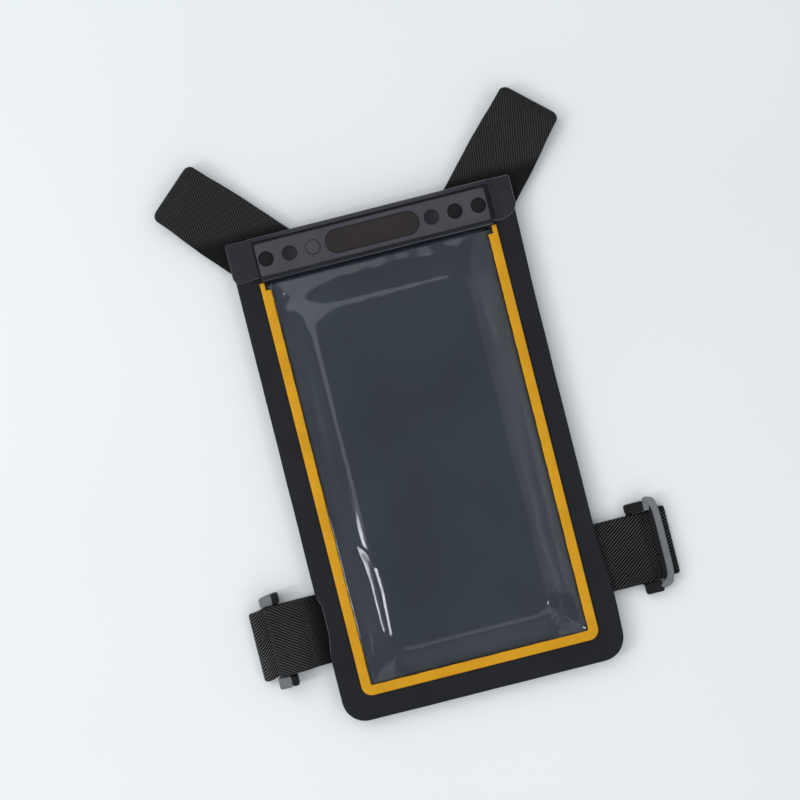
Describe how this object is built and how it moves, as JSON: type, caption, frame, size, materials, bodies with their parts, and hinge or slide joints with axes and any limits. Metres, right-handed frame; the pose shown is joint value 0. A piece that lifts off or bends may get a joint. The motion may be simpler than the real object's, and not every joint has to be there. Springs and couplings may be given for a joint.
{
  "type": "waterproof chest bag",
  "caption": "Flat waterproof phone bag with a clear window, a magnetic closure bar and an elastic chest harness folded behind it, lying on its back.",
  "frame": {"origin": "middle of the whole part in plan, on the surface that the bag lies on", "axes": "+X across the bag, +Y from its bottom edge to its closure, +Z out of its window"},
  "size_m": [0.1844, 0.2496, 0.0174],
  "materials": {
    "body": "coated black sheet, fine matt grain",
    "header": "coated bluish-black sheet, satin",
    "bar": "dark grey moulded rubber, satin",
    "plate": "smooth brownish-black, blank",
    "magnet": "black coated disc",
    "weld": "yellow-orange welded tape, satin",
    "film": "clear soft film, glossy, with soft creases",
    "webbing": "black elastic webbing with fine slanted ribs",
    "slider": "grey moulded plastic, satin"
  },
  "bodies": {
    "root": {"back_panel": "body", "front_frame": "body", "weld_band": "weld", "window_film": "film", "header_sheet": "header", "closure_bar_back": "bar", "closure_bar_front": "bar", "name_plate": "plate", "slider_left": "slider", "slider_right": "slider", "chest_band": "webbing", "side_tab_left": "webbing", "shoulder_strap_left": "webbing", "shoulder_strap_right": "webbing", "magnet_back_1": "magnet", "magnet_back_2": "magnet", "magnet_back_3": "magnet", "magnet_back_4": "magnet", "magnet_back_5": "magnet", "magnet_back_6": "magnet", "magnet_front_1": "magnet", "magnet_front_2": "magnet", "magnet_front_3": "magnet", "magnet_front_4": "magnet", "magnet_front_5": "magnet", "magnet_front_6": "magnet"}
  },
  "joints": []
}
